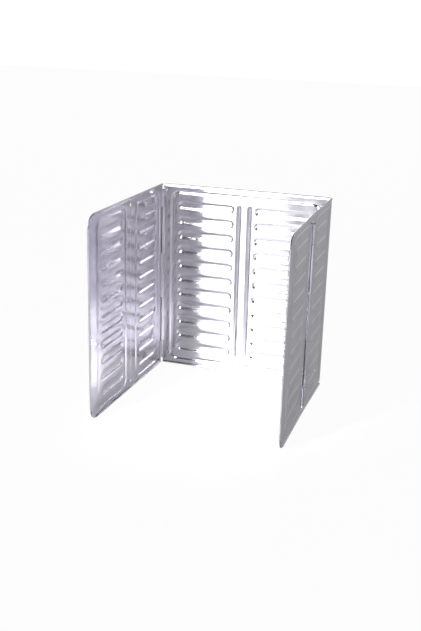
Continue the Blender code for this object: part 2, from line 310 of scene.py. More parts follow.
# The sizes that differ from panel to panel
PANEL_SIZES = (
    "Middle Across", "Middle Up", "Half Width", "Half Height", "Rib Pitch", "Rib Inner End",
    "Rib Outer End", "Bead Offset", "Seed",
)


@dataclass(frozen=True)
class Grid:
    """Widest steps of a blank's grid of quads, in metres: short where the press bends the sheet."""

    frame: float = 0.7 * MM
    rib: float = 0.75 * MM
    bead: float = 0.65 * MM
    hinge_end: float = 0.4 * MM
    hinge_strip: float = 1.0 * MM
    hinge_side: float = 2.2 * MM
    free_corner: float = 1.3 * MM
    free_side: float = 1.8 * MM
    hem_to_frame: float = 1.3 * MM
    frame_to_ribs: float = 1.2 * MM
    frame_to_rows: float = 1.5 * MM
    rib_floor: float = 2.0 * MM
    ribs_to_bead: float = 2.5 * MM
    bead_to_bead: float = 3.0 * MM
    row_to_row: float = 4.0 * MM
    along_ribs: float = 7.0 * MM
    # The strip beside a hinge ends this far in from its axis
    strip_width: float = 5.0 * MM
    # Grid lines lie this far beyond a frame bead or the end of a rib
    end_margin: float = 0.4 * MM
    # Grid lines lie this far beyond the side of a rib or a centre bead
    side_margin: float = 0.2 * MM
    # A line that is nearer than this to the end of a knuckle or a hem gives way to it
    least: float = 0.2 * MM


def empty_tree(owner: bpy.types.Material | bpy.types.World) -> bpy.types.NodeTree:
    """Give a material or a world an empty node tree.

    Args:
        owner: the material or the world.

    Returns:
        The tree.
    """
    owner.use_nodes = True
    owner.node_tree.nodes.clear()
    return owner.node_tree


@dataclass(frozen=True)
class RolledAluminium:
    """Bright cold rolled aluminium sheet, pressed but not polished.

    To the eye it is a soft mirror with a faint lilac cast. The rolls leave hair-fine lines along the
    sheet, so that reflections smear across them, and handling leaves cloudy patches where the mirror is
    duller.
    """

    name: str = "bright_rolled_aluminium"
    colour: str = "#e3e1e9"
    clouded: str = "#d8d6df"
    bright_roughness: float = 0.10
    dull_roughness: float = 0.18
    smear: float = 0.78
    # A quarter turn, because the smear runs across the lines
    smear_turn: float = 0.25
    # The real lines are too fine to show, some 0.05 mm apart, so they are drawn wider
    line_spacing: float = 1.2 * MM
    line_length: float = 90.0 * MM
    line_depth: float = 0.012 * MM
    line_detail: float = 3.0
    cloud_size: float = 45.0 * MM
    cloud_detail: float = 4.0
    # Where the noise of the clouds turns from clear to full haze
    cloud_edges: tuple[float, float] = (0.42, 0.72)
    # How much the lines count beside the clouds, and what the two add up to at the least and the most
    line_share: float = 0.35
    mixed_range: tuple[float, float] = (0.1, 1.1)

    def material(self) -> bpy.types.Material:
        """Build the finish.

        Returns:
            The material, which reads the sheet's own blank coordinates.
        """
        made = bpy.data.materials.new(self.name)
        tree = empty_tree(made)
        blank = put(tree, "ShaderNodeUVMap", uv_map=SHEET_UV)
        stretch = (1 / self.line_length, 1 / self.line_spacing, 1)
        along = put(tree, "ShaderNodeMapping", {"Vector": blank, "Scale": stretch})
        lines = put(tree, NOISE, {"Vector": along, "Scale": 1.0, "Detail": self.line_detail})
        cloud_scale = 1 / self.cloud_size
        clouds = put(tree, NOISE, {"Vector": blank, "Scale": cloud_scale, "Detail": self.cloud_detail})
        clear, full = self.cloud_edges
        haze = put(tree, MAP_RANGE, {0: clouds, 1: clear, 2: full}, interpolation_type="SMOOTHSTEP")
        mixed = put(tree, MATH, (lines, self.line_share, haze), operation="MULTIPLY_ADD")
        low, high = self.mixed_range
        limits = {1: low, 2: high, 3: self.bright_roughness, 4: self.dull_roughness}
        rough = put(tree, MAP_RANGE, {0: mixed, **limits})
        colours = {6: srgb(self.colour), 7: srgb(self.clouded)}
        tint = put(tree, "ShaderNodeMix", {0: haze, **colours}, data_type="RGBA").outputs[2]
        bump = put(tree, "ShaderNodeBump", {"Height": lines, "Distance": self.line_depth, "Strength": 1.0})
        along_rolls = put(tree, "ShaderNodeTangent", direction_type="UV_MAP", uv_map=SHEET_UV)
        surface = {"Base Color": tint, "Metallic": 1.0, "Roughness": rough, "Normal": bump}
        smear = {"Tangent": along_rolls, "Anisotropic": self.smear, "Anisotropic Rotation": self.smear_turn}
        metal = put(tree, "ShaderNodeBsdfPrincipled", {**surface, **smear})
        put(tree, "ShaderNodeOutputMaterial", {"Surface": metal})
        return made


@dataclass(frozen=True)
class DrawnSteel:
    """Galvanised steel wire, drawn through a die.

    To the eye it is a darker, duller grey than the sheet, mottled by its thin zinc.
    """

    name: str = "drawn_steel_wire"
    colour: str = "#8b8b8e"
    mottled: str = "#6e6e72"
    roughness: float = 0.34
    roughness_swing: float = 0.08
    # The real mottling is finer than this, too fine to show
    mottle_size: float = 2.5 * MM
    mottle_detail: float = 5.0
    mottle_range: tuple[float, float] = (0.3, 0.7)
    grain_depth: float = 0.02 * MM
    grain_strength: float = 0.6

    def material(self) -> bpy.types.Material:
        """Build the finish.

        Returns:
            The material, which reads Object coordinates.
        """
        made = bpy.data.materials.new(self.name)
        tree = empty_tree(made)
        place = put(tree, "ShaderNodeTexCoord").outputs["Object"]
        scale = 1 / self.mottle_size
        mottle = put(tree, NOISE, {"Vector": place, "Scale": scale, "Detail": self.mottle_detail})
        colours = {6: srgb(self.colour), 7: srgb(self.mottled)}
        tint = put(tree, "ShaderNodeMix", {0: mottle, **colours}, data_type="RGBA").outputs[2]
        low, high = self.mottle_range
        smooth, coarse = self.roughness - self.roughness_swing, self.roughness + self.roughness_swing
        rough = put(tree, MAP_RANGE, {0: mottle, 1: low, 2: high, 3: smooth, 4: coarse})
        relief = {"Distance": self.grain_depth, "Strength": self.grain_strength}
        bump = put(tree, "ShaderNodeBump", {"Height": mottle, **relief})
        surface = {"Base Color": tint, "Metallic": 1.0, "Roughness": rough, "Normal": bump}
        metal = put(tree, "ShaderNodeBsdfPrincipled", surface)
        put(tree, "ShaderNodeOutputMaterial", {"Surface": metal})
        return made


@dataclass
class Tree:
    """A Geometry Nodes tree with named inputs, built once and used by several objects."""

    name: str
    tree: bpy.types.GeometryNodeTree = field(init=False)
    source: bpy.types.Node = field(init=False)
    sockets: dict[str, str] = field(default_factory=dict)

    def __post_init__(self) -> None:
        """Make the empty tree with its geometry sockets."""
        self.tree = bpy.data.node_groups.new(self.name, "GeometryNodeTree")
        self.tree.interface.new_socket("Geometry", in_out="INPUT", socket_type="NodeSocketGeometry")
        self.tree.interface.new_socket("Geometry", in_out="OUTPUT", socket_type="NodeSocketGeometry")
        self.source = self.tree.nodes.new("NodeGroupInput")

    def takes(self, name: str, kind: str = "Float") -> bpy.types.NodeSocket:
        """Add a named input.

        Args:
            name: what the input is called.
            kind: the socket's type, such as Float, Int or Material.

        Returns:
            The socket that gives the input's value inside the tree.
        """
        made = self.tree.interface.new_socket(name, in_out="INPUT", socket_type=f"NodeSocket{kind}")
        self.sockets[name] = made.identifier
        return self.source.outputs[name]

    def ends(self, geometry: bpy.types.Node, material: bpy.types.NodeSocket) -> None:
        """Finish the tree with Realize Instances and Set Material.

        Args:
            geometry: the node that gives the finished shape.
            material: the tree's material input.
        """
        real = put(self.tree, "GeometryNodeRealizeInstances", (geometry,))
        dressed = put(self.tree, "GeometryNodeSetMaterial", {"Geometry": real, "Material": material})
        put(self.tree, "NodeGroupOutput", (dressed,))

    def run(
        self, obj: bpy.types.Object, values: dict[str, object], thickness: float = 0.0
    ) -> bpy.types.Mesh:
        """Run the tree on an object and keep the result as a plain mesh.

        Args:
            obj: the object that carries the starting geometry. It is removed.
            values: the value of each named input.
            thickness: the thickness that the surface gets afterwards, or 0 for none.

        Returns:
            The finished mesh.
        """
        modifier = obj.modifiers.new(self.name, "NODES")
        modifier.node_group = self.tree
        for name, value in values.items():
            modifier[self.sockets[name]] = value
        if thickness:
            wall = obj.modifiers.new("sheet_thickness", "SOLIDIFY")
            wall.thickness = thickness
            wall.offset = 0.0
            wall.use_even_offset = True
        bpy.context.scene.collection.objects.link(obj)
        graph = bpy.context.evaluated_depsgraph_get()
        mesh = bpy.data.meshes.new_from_object(obj.evaluated_get(graph))
        obj.modifiers.clear()
        bpy.data.objects.remove(obj)
        return mesh


def press_tool() -> Tree:
    """Build the tree that presses a flat panel blank.

    It works on the blank's own coordinates: x along the panel, z up, and y towards the inside. A vertex
    is pushed outwards by its depth inside each outline, over a straight slope. The rows of ribs repeat by
    their pitch.

    Returns:
        The tree with its named sizes.
    """
    tool = Tree("press_tool")
    tree = tool.tree
    size = {name: tool.takes(name) for name in PANEL_SIZES + TOOL_SIZES}
    material = tool.takes("Material", "Material")

    place = put(tree, "GeometryNodeInputPosition")
    x, _, z = put(tree, "ShaderNodeSeparateXYZ", (place,)).outputs
    offset = put(tree, MATH, (x, size["Middle Across"]), operation="SUBTRACT")
    across = put(tree, MATH, (offset,), operation="ABSOLUTE")
    height = put(tree, MATH, (z, size["Middle Up"]), operation="SUBTRACT")
    climb = put(tree, MATH, (height,), operation="ABSOLUTE")

    # Frame bead: depth inside a rounded box whose outline is the bead's centre line
    corner_x = put(tree, MATH, (size["Half Width"], size["Frame Corner"]), operation="SUBTRACT")
    corner_z = put(tree, MATH, (size["Half Height"], size["Frame Corner"]), operation="SUBTRACT")
    past_x = put(tree, MATH, (across, corner_x), operation="SUBTRACT")
    past_z = put(tree, MATH, (climb, corner_z), operation="SUBTRACT")
    out_x = put(tree, MATH, (past_x, 0.0), operation="MAXIMUM")
    out_z = put(tree, MATH, (past_z, 0.0), operation="MAXIMUM")
    corner = put(tree, "ShaderNodeCombineXYZ", (out_x, 0.0, out_z))
    reach = put(tree, VECTOR_MATH, (corner,), operation="LENGTH").outputs["Value"]
    deepest = put(tree, MATH, (past_x, past_z), operation="MAXIMUM")
    inner = put(tree, MATH, (deepest, 0.0), operation="MINIMUM")
    total = put(tree, MATH, (reach, inner), operation="ADD")
    from_line = put(tree, MATH, (total, size["Frame Corner"]), operation="SUBTRACT")
    off_line = put(tree, MATH, (from_line,), operation="ABSOLUTE")
    half_bead = put(tree, MATH, (size["Frame Width"], 0.5), operation="MULTIPLY")
    frame_depth = put(tree, MATH, (half_bead, off_line), operation="SUBTRACT")

    # Ribs: how far a point is from the nearest row's line, and how far past its ends
    last_row = put(tree, MATH, (size["Rib Rows"], 1.0), operation="SUBTRACT")
    middle_row = put(tree, MATH, (last_row, 0.5), operation="MULTIPLY")
    row_place = put(tree, MATH, (height, size["Rib Pitch"]), operation="DIVIDE")
    row_count = put(tree, MATH, (row_place, middle_row), operation="ADD")
    row_near = put(tree, MATH, (row_count,), operation="ROUND")
    row_high = put(tree, MATH, (row_near, last_row), operation="MINIMUM")
    row = put(tree, MATH, (row_high, 0.0), operation="MAXIMUM")
    row_offset = put(tree, MATH, (row, middle_row), operation="SUBTRACT")
    row_height = put(tree, MATH, (row_offset, size["Rib Pitch"]), operation="MULTIPLY")
    from_row = put(tree, MATH, (height, row_height), operation="SUBTRACT")
    half_rib = put(tree, MATH, (size["Rib Width"], 0.5), operation="MULTIPLY")
    outer_end = put(tree, MATH, (size["Rib Outer End"], half_rib), operation="SUBTRACT")
    inner_end = put(tree, MATH, (size["Rib Inner End"], half_rib), operation="ADD")
    past_outer = put(tree, MATH, (across, outer_end), operation="SUBTRACT")
    past_inner = put(tree, MATH, (inner_end, across), operation="SUBTRACT")
    past_rib = put(tree, MATH, (past_outer, past_inner), operation="MAXIMUM")

    # Centre beads: the same for the upright bead on each side of the middle
    from_bead = put(tree, MATH, (across, size["Bead Offset"]), operation="SUBTRACT")
    half_centre = put(tree, MATH, (size["Bead Width"], 0.5), operation="MULTIPLY")
    bead_room = put(tree, MATH, (size["Half Height"], size["Bead From Frame"]), operation="SUBTRACT")
    bead_end = put(tree, MATH, (bead_room, half_centre), operation="SUBTRACT")
    past_bead = put(tree, MATH, (climb, bead_end), operation="SUBTRACT")

    # Both are bars with half-round ends, and the depth inside them is worked out alike
    depths = {"Frame": frame_depth}
    bars = (("Rib", half_rib, from_row, past_rib), ("Bead", half_centre, from_bead, past_bead))
    for name, half, aside, past in bars:
        beyond = put(tree, MATH, (past, 0.0), operation="MAXIMUM")
        spot = put(tree, "ShaderNodeCombineXYZ", (beyond, 0.0, aside))
        away = put(tree, VECTOR_MATH, (spot,), operation="LENGTH").outputs["Value"]
        depths[name] = put(tree, MATH, (half, away), operation="SUBTRACT")
    pushed = 0.0
    for name, depth in depths.items():
        slope, relief = size[f"{name} Slope"], size[f"{name} Relief"]
        step = put(tree, MAP_RANGE, {0: depth, 1: 0.0, 2: slope, 3: 0.0, 4: relief})
        pushed = put(tree, MATH, (pushed, step), operation="ADD")

    # Buckles: thin sheet never stays flat, so the field inside the frame bead wanders a little
    per_metre = put(tree, MATH, (1.0, size["Buckle Length"]), operation="DIVIDE")
    waves = {"Vector": place, "W": size["Seed"], "Scale": per_metre, "Detail": size["Buckle Detail"]}
    noise = put(tree, NOISE, waves, noise_dimensions="4D")
    wander = put(tree, MATH, (noise, 0.5), operation="SUBTRACT")
    inside = put(tree, MATH, (from_line, -1.0), operation="MULTIPLY")
    fade = {0: inside, 1: half_bead, 2: size["Buckle Ease"], 3: 0.0, 4: size["Buckle Height"]}
    window = put(tree, MAP_RANGE, fade, interpolation_type="SMOOTHSTEP")
    buckle = put(tree, MATH, (wander, window), operation="MULTIPLY")
    shift = put(tree, MATH, (buckle, pushed), operation="SUBTRACT")
    lift = put(tree, "ShaderNodeCombineXYZ", (0.0, shift, 0.0))
    blank = tool.source.outputs["Geometry"]
    pressed = put(tree, "GeometryNodeSetPosition", {"Geometry": blank, "Offset": lift})
    tool.ends(pressed, material)
    return tool


def sweep_tool() -> Tree:
    """Build the tree that draws a round wire along a curve.

    Returns:
        The tree with its named sizes.
    """
    tool = Tree("wire_draw")
    radius = tool.takes("Radius")
    sides = tool.takes("Sides", "Int")
    material = tool.takes("Material", "Material")
    tree = tool.tree
    circle = put(tree, "GeometryNodeCurvePrimitiveCircle", {"Resolution": sides, "Radius": radius})
    inputs = {"Curve": tool.source.outputs["Geometry"], "Profile Curve": circle, "Fill Caps": True}
    wire = put(tree, "GeometryNodeCurveToMesh", inputs)
    tool.ends(wire, material)
    return tool


@dataclass(frozen=True)
class Workshop:
    """What every piece is made with: the sheet metal sizes, the two tools and the two finishes."""

    sheet: Sheet
    pressing: Pressing
    press: Tree
    draw: Tree
    aluminium: bpy.types.Material
    steel: bpy.types.Material


def spaced(stops: Sequence[Stop]) -> np.ndarray:
    """Space grid lines from stop to stop.

    Args:
        stops: the stops, in order.

    Returns:
        The positions of the lines, both ends included.
    """
    lines = [stops[0][0]]
    for (start, _), (end, step) in zip(stops, stops[1:]):
        count = max(1, math.ceil((end - start) / step - HAIR))
        lines += [start + (end - start) * i / count for i in range(1, count + 1)]
    return np.array(lines)


def mirrored(stops: Sequence[Stop], width: float, step: float) -> list[Stop]:
    """Turn a row of stops round, for the other side of a panel.

    Args:
        stops: the stops, in order.
        width: the length that their positions are taken from.
        step: the widest step on the way to the turned row.

    Returns:
        The stops in their new order, each with the step that now leads to it.
    """
    steps = [step] + [old_step for _, old_step in stops[:0:-1]]
    return [(width - position, new_step) for (position, _), new_step in zip(stops[::-1], steps)]


def within(lines: np.ndarray, low: float, high: float) -> np.ndarray:
    """Pick the grid lines from low to high, both included."""
    return lines[(lines > low - HAIR) & (lines < high + HAIR)]


def unbent(u: np.ndarray, v: np.ndarray) -> Spots:
    """Lay grid points out in the plane of the sheet."""
    return u, np.zeros_like(u), v


def round_corner(
    u: np.ndarray,
    v: np.ndarray,
    centre: tuple[float, float],
    reach: tuple[float, float],
    bulge: float = 0.0,
) -> tuple[np.ndarray, np.ndarray]:
    """Bend the square corner of a grid into a quarter disc.

    Args:
        u: positions along the panel.
        v: heights.
        centre: the corner's centre.
        reach: signed distances from the centre to the corner's two sides.
        bulge: how far the arc stands out beyond the sides.

    Returns:
        The new positions and heights.
    """
    part_u = np.clip((u - centre[0]) / reach[0], 0, None)
    part_v = np.clip((v - centre[1]) / reach[1], 0, None)
    # Points on the corner's two sides count as inside, whatever their rounding
    side = 1.0001
    # The bulge fades in over this angle from either side
    bulge_ease = math.radians(8)
    here = (part_u > 0) & (part_v > 0) & (part_u < side) & (part_v < side)
    disc_u = np.where(here, part_u * np.sqrt(np.clip(1 - part_v * part_v / 2, 0, None)), part_u)
    disc_v = np.where(here, part_v * np.sqrt(np.clip(1 - part_u * part_u / 2, 0, None)), part_v)
    turn = np.arctan2(disc_v, disc_u)
    rim = np.clip(np.minimum(turn, math.pi / 2 - turn) / bulge_ease, 0, 1)
    eased = bulge / abs(reach[0]) * rim * rim * (3 - 2 * rim)
    grow = 1 + np.where(here, eased * np.hypot(disc_u, disc_v) ** 4, 0)
    new_u = np.where(here, centre[0] + reach[0] * disc_u * grow, u)
    new_v = np.where(here, centre[1] + reach[1] * disc_v * grow, v)
    return new_u, new_v


def weld(mesh: bpy.types.Mesh, outwards: bool = False) -> None:
    """Merge a mesh's doubled vertices.

    Args:
        mesh: the mesh, which is changed in place.
        outwards: True to turn its faces outwards as well.
    """
    bm = bmesh.new()
    bm.from_mesh(mesh)
    bmesh.ops.remove_doubles(bm, verts=bm.verts, dist=HAIR)
    if outwards:
        bmesh.ops.recalc_face_normals(bm, faces=bm.faces)
    bm.to_mesh(mesh)
    bm.free()


@dataclass
class Roll:
    """The section of a roll at an edge of the sheet, as it is and as it lay in the flat blank."""

    profile: list[tuple[float, float]]
    out: np.ndarray = field(init=False)
    rise: np.ndarray = field(init=False)
    flat: np.ndarray = field(init=False)

    def __post_init__(self) -> None:
        """Split the section, and measure how far along the sheet each of its points lies."""
        points = np.array(self.profile)
        self.out, self.rise = points.T
        self.flat = np.concatenate([[0], np.cumsum(np.hypot(*np.diff(points, axis=0).T))])


@dataclass
class Blank:
    """A panel's flat blank with its curls, gathered patch by patch."""

    verts: list[np.ndarray] = field(default_factory=list)
    faces: list[np.ndarray] = field(default_factory=list)
    flats: list[np.ndarray] = field(default_factory=list)
    count: int = 0

    def add(
        self, first: np.ndarray, second: np.ndarray, place: Place, flat: Place, turned: bool = False
    ) -> None:
        """Add one rectangular patch of quads.

        Args:
            first: grid lines one way.
            second: grid lines the other way.
            place: gives x, y and z for a grid point.
            flat: gives the point's place in the flat blank, for the finish.
            turned: True to turn the faces over.
        """
        firsts, seconds = np.meshgrid(first, second, indexing="ij")
        self.verts.append(np.stack([axis.ravel() for axis in place(firsts, seconds)], axis=1))
        self.flats.append(np.stack([axis.ravel() for axis in flat(firsts, seconds)[::2]], axis=1))
        rows, columns = firsts.shape
        index = np.arange(rows * columns).reshape(rows, columns) + self.count
        quads = [index[:-1, :-1], index[1:, :-1], index[1:, 1:], index[:-1, 1:]]
        quads = np.stack([corner.ravel() for corner in quads], axis=1)
        self.faces.append(quads[:, ::-1] if turned else quads)
        self.count += rows * columns

    def roll_edge(self, roll: Roll, line: float, way: int, along: np.ndarray, upright: bool) -> None:
        """Add the sheet that is rolled off a straight edge.

        Args:
            roll: the roll's section.
            line: where the edge lies, along the panel or up it.
            way: 1 for a roll that lies past the line, -1 for one before it.
            along: grid lines along the edge.
            upright: True for an upright edge, False for a level one.
        """

        def laid(first: np.ndarray, second: np.ndarray, distance: np.ndarray) -> Spots:
            """Lay the section out from the line.

            Args:
                first: the grid's first coordinate, a step of the section on an upright edge.
                second: its second coordinate, a step of the section on a level edge.
                distance: how far out each step lies.

            Returns:
                The points' x, y and z.
            """
            step, edge = (first, second) if upright else (second, first)
            step = step.astype(int)
            across, rise = line + way * distance[step], roll.rise[step]
            return (across, rise, edge) if upright else (edge, rise, across)

        def rolled(first: np.ndarray, second: np.ndarray) -> Spots:
            """A point of the roll."""
            return laid(first, second, roll.out)

        def unrolled(first: np.ndarray, second: np.ndarray) -> Spots:
            """The same point in the flat blank."""
            return laid(first, second, roll.flat)

        steps = np.arange(len(roll.profile))
        first, second = (steps, along) if upright else (along, steps)
        self.add(first, second, rolled, unrolled, turned=way < 0)

    def mesh(self, name: str) -> bpy.types.Mesh:
        """Join the patches along their shared lines.

        Args:
            name: the mesh's name.

        Returns:
            The mesh, with its flat coordinates as a UV map.
        """
        mesh = bpy.data.meshes.new(name)
        faces = np.concatenate(self.faces)
        mesh.from_pydata(np.concatenate(self.verts).tolist(), [], faces.tolist())
        flats = np.concatenate(self.flats)
        layer = mesh.uv_layers.new(name=SHEET_UV)
        corners = np.zeros(len(mesh.loops), np.int32)
        mesh.loops.foreach_get("vertex_index", corners)
        layer.data.foreach_set("uv", flats[corners].astype(np.float32).ravel())
        weld(mesh)
        return mesh


def adopt(name: str, mesh: bpy.types.Mesh, body: str, nodes: Sequence[str]) -> None:
    """Put a finished mesh into the scene as a piece of the guard.

    Args:
        name: the piece's name.
        mesh: its mesh, already in place.
        body: the body that it rides on.
        nodes: the CAD nodes that it stands for.
    """
    mesh.shade_smooth()
    mesh.set_sharp_from_angle(angle=SHARP_ANGLE)
    piece = bpy.data.objects.new(name, mesh)
    bpy.context.scene.collection.objects.link(piece)
    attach(piece, body)
    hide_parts(*nodes)
    log.info("%s: %d faces, rides on %s", name, len(mesh.polygons), body)


@dataclass
class PressedPanel:
    """One sheet panel: its blank, its pressing, its curled edges and its place in the guard."""

    node: str
    body: str
    width: float
    near: EdgeKind
    far: EdgeKind
    near_first: int
    far_first: int
    place: Matrix
    shop: Workshop
    seed: float
    centre_beads: bool = False
    grid: Grid = Grid()

    @property
    def bead_reach(self) -> float:
        """How far the fine grid reaches to each side of the frame bead's centre line."""
        return self.shop.pressing.frame_width / 2 + self.grid.end_margin

    def edge_stops(self, kind: EdgeKind) -> list[Stop]:
        """Set the grid stops from an upright edge to the end of the ribs' half-round ends.

        Args:
            kind: what the edge ends in.

        Returns:
            The stops, by their distance from the edge.
        """
        sheet, pressing, grid = self.shop.sheet, self.shop.pressing, self.grid
        frame_line = pressing.frame_inset(kind)
        before_frame = frame_line - self.bead_reach
        if kind is EdgeKind.FREE:
            start = [(sheet.hem_depth, 0), (sheet.free_corner, grid.free_corner)]
            side_step = grid.free_side
        else:
            start = [(sheet.edge_cut, 0), (grid.strip_width, grid.hinge_strip)]
            side_step = grid.hinge_side
        rib_start = frame_line + pressing.rib_from_frame
        return start + [
            (before_frame, side_step),
            (frame_line + self.bead_reach, grid.frame),
            (rib_start - grid.end_margin, grid.frame_to_ribs),
            (rib_start + pressing.rib_width / 2 + grid.end_margin, grid.rib),
        ]

    def middle_stops(self) -> list[Stop]:
        """Set the grid stops from one rib's inner end over both centre beads to the other's.

        Returns:
            The stops, by their distance along the panel.
        """
        pressing, grid = self.shop.pressing, self.grid
        bead = pressing.bead_spacing / 2
        half_bead = pressing.bead_width / 2
        rib_end = bead + half_bead + pressing.rib_from_bead
        right = [
            (bead - half_bead - grid.side_margin, grid.bead_to_bead),
            (bead + half_bead + grid.side_margin, grid.bead),
            (rib_end - grid.end_margin, grid.ribs_to_bead),
            (rib_end + pressing.rib_width / 2 + grid.end_margin, grid.rib),
        ]
        left = mirrored(right, 0.0, grid.along_ribs)
        return [(self.width / 2 + u, step) for u, step in left + right]

    def columns(self) -> np.ndarray:
        """Space the grid lines along the panel.

        Returns:
            The positions of the lines.
        """
        middle = self.middle_stops() if self.centre_beads else []
        far = mirrored(self.edge_stops(self.far), self.width, self.grid.along_ribs)
        return spaced(self.edge_stops(self.near) + middle + far)

    def rows(self) -> np.ndarray:
        """Space the grid lines up the panel, with the cuts at both hinges' knuckle ends among them.

        Returns:
            The heights of the lines.
        """
        sheet, pressing, grid = self.shop.sheet, self.shop.pressing, self.grid
        frame_line = pressing.frame_from_edge
        pitch = pressing.rib_pitch(sheet.height)
        half_rib = pressing.rib_width / 2
        foot = [
            (sheet.hem_depth, 0),
            (sheet.hem_depth + sheet.hinge_corner, sheet.hinge_corner / 2),
            (frame_line - self.bead_reach, grid.hem_to_frame),
            (frame_line + self.bead_reach, grid.frame),
        ]
        ribs = []
        for row in range(pressing.rib_rows):
            centre = sheet.height / 2 + (row - (pressing.rib_rows - 1) / 2) * pitch
            ribs += [
                (centre - half_rib - grid.side_margin, grid.row_to_row if row else grid.frame_to_rows),
                (centre - half_rib + pressing.rib_slope, grid.rib),
                (centre + half_rib - pressing.rib_slope, grid.rib_floor),
                (centre + half_rib + grid.side_margin, grid.rib),
            ]
        lines = spaced(foot + ribs + mirrored(foot, sheet.height, grid.frame_to_rows))
        fixed = [line for span in self.spans(True) + self.spans(False) for line in span]
        depths = (sheet.free_corner, sheet.corner_end_depth, sheet.mid_end_depth)
        fixed += [line for depth in depths for line in (depth, sheet.height - depth)]
        for line in fixed:
            lines = lines[np.abs(lines - line) > grid.least]
        return np.sort(np.concatenate([lines, np.array(fixed)]))

    def spans(self, near: bool) -> list[tuple[float, float]]:
        """Find the knuckles of an upright edge.

        Args:
            near: True for the near edge, False for the far one.

        Returns:
            The lower and the upper end of each knuckle, none for a free edge.
        """
        kind, first = (self.near, self.near_first) if near else (self.far, self.far_first)
        if kind is EdgeKind.FREE:
            return []
        sheet = self.shop.sheet
        inset = sheet.corner_inset if kind is EdgeKind.CORNER_HINGE else sheet.mid_inset
        return sheet.spans(inset, first)

    def core_place(self, u: np.ndarray, v: np.ndarray) -> Spots:
        """Place the flat of the sheet, with the corners of a free edge rounded.

        Args:
            u: positions along the panel.
            v: heights.

        Returns:
            The points' x, y and z.
        """
        sheet = self.shop.sheet
        size = sheet.free_corner - sheet.hem_depth
        bulge = sheet.wire_bend - sheet.wire_radius - sheet.bare_wire_gap - size
        if self.far is EdgeKind.FREE:
            for foot, up in ((0.0, 1), (sheet.height, -1)):
                centre = (self.width - sheet.free_corner, foot + up * sheet.free_corner)
                u, v = round_corner(u, v, centre, (size, -up * size), bulge)
        return unbent(u, v)

    def end_lines(self, near: bool) -> np.ndarray:
        """Space the grid lines from a hinge edge's closed end to the cut beside the knuckles.

        Args:
            near: True for the near edge, False for the far one.

        Returns:
            The positions of the lines, none for a free edge.
        """
        sheet = self.shop.sheet
        if not near and self.far is EdgeKind.FREE:
            return np.array([])
        stops = [(sheet.hinge_end, 0), (sheet.hem_start, sheet.hinge_corner / 2)]
        lines = spaced(stops + [(sheet.edge_cut, self.grid.hinge_end)])
        return lines if near else self.width - lines[::-1]

    def add_hinge_ends(self, blank: Blank, rows: np.ndarray) -> None:
        """Carry the sheet on to the hinge's axis, above and below the barrel.

        Args:
            blank: the blank that the four ends are added to.
            rows: the blank's grid lines up the panel.
        """
        sheet = self.shop.sheet
        size = sheet.hinge_corner
        for near, edge, way in ((True, 0.0, 1), (False, self.width, -1)):
            lines = self.end_lines(near)
            if not len(lines):
                continue
            is_corner = (self.near if near else self.far) is EdgeKind.CORNER_HINGE
            depth = sheet.corner_end_depth if is_corner else sheet.mid_end_depth
            for foot, up in ((0.0, 1), (sheet.height, -1)):
                centre = (edge + way * sheet.hem_start, foot + up * (sheet.hem_depth + size))
                first, last = sorted((foot + up * sheet.hem_depth, foot + up * depth))
                reach = (-way * size, -up * size)

                def cornered(
                    u: np.ndarray, v: np.ndarray, centre: tuple = centre, reach: tuple = reach
                ) -> Spots:
                    """A point of the end, its outer corner rounded."""
                    return unbent(*round_corner(u, v, centre, reach))

                blank.add(lines, within(rows, first, last), cornered, unbent)

    def blank(self) -> Blank:
        """Lay out the flat, the hems and the knuckles.

        Returns:
            The blank, before it is pressed.
        """
        sheet = self.shop.sheet
        columns, rows = self.columns(), self.rows()
        blank = Blank()
        blank.add(columns, rows, self.core_place, unbent)
        hem = Roll(sheet.hem_profile())
        is_free = self.far is EdgeKind.FREE
        end = self.width - (sheet.free_corner if is_free else sheet.hem_start)
        along = np.concatenate([self.end_lines(True)[:-1], columns, self.end_lines(False)[1:]])
        along = within(along, sheet.hem_start, end)
        blank.roll_edge(hem, sheet.hem_depth, -1, along, upright=False)
        blank.roll_edge(hem, sheet.height - sheet.hem_depth, 1, along, upright=False)
        if is_free:
            straight = within(rows, sheet.free_corner, sheet.height - sheet.free_corner)
            blank.roll_edge(hem, self.width - sheet.hem_depth, 1, straight, upright=True)
        self.add_hinge_ends(blank, rows)
        self.add_knuckles(blank, rows)
        return blank

    def add_knuckles(self, blank: Blank, rows: np.ndarray) -> None:
        """Curl the tabs of both hinge edges round their pins.

        Args:
            blank: the blank that they are added to.
            rows: the blank's grid lines up the panel.
        """
        sheet = self.shop.sheet
        for near in (True, False):
            kind = self.near if near else self.far
            curl = Roll(sheet.knuckle_profile(1 if kind is EdgeKind.CORNER_HINGE else -1))
            edge, way = (sheet.edge_cut, -1) if near else (self.width - sheet.edge_cut, 1)
            for low, high in self.spans(near):
                blank.roll_edge(curl, edge, way, within(rows, low, high), upright=True)

    def build(self) -> None:
        """Press the blank and put the panel in its place."""
        sheet, pressing = self.shop.sheet, self.shop.pressing
        piece = f"{self.node}_pressed"
        blank = self.blank().mesh(piece)
        left = pressing.frame_inset(self.near)
        right = self.width - pressing.frame_inset(self.far)
        middle = (left + right) / 2
        half_width = right - middle
        values = {name: float(getattr(pressing, name.lower().replace(" ", "_"))) for name in TOOL_SIZES}
        values |= {
            "Middle Across": middle,
            "Middle Up": sheet.height / 2,
            "Half Width": half_width,
            "Half Height": sheet.height / 2 - pressing.frame_from_edge,
            "Rib Pitch": pressing.rib_pitch(sheet.height),
            "Rib Inner End": (pressing.bead_spacing + pressing.bead_width) / 2 + pressing.rib_from_bead,
            "Rib Outer End": half_width - pressing.rib_from_frame,
            "Bead Offset": pressing.bead_spacing / 2,
            "Seed": self.seed,
            "Material": self.shop.aluminium,
        }
        if not self.centre_beads:
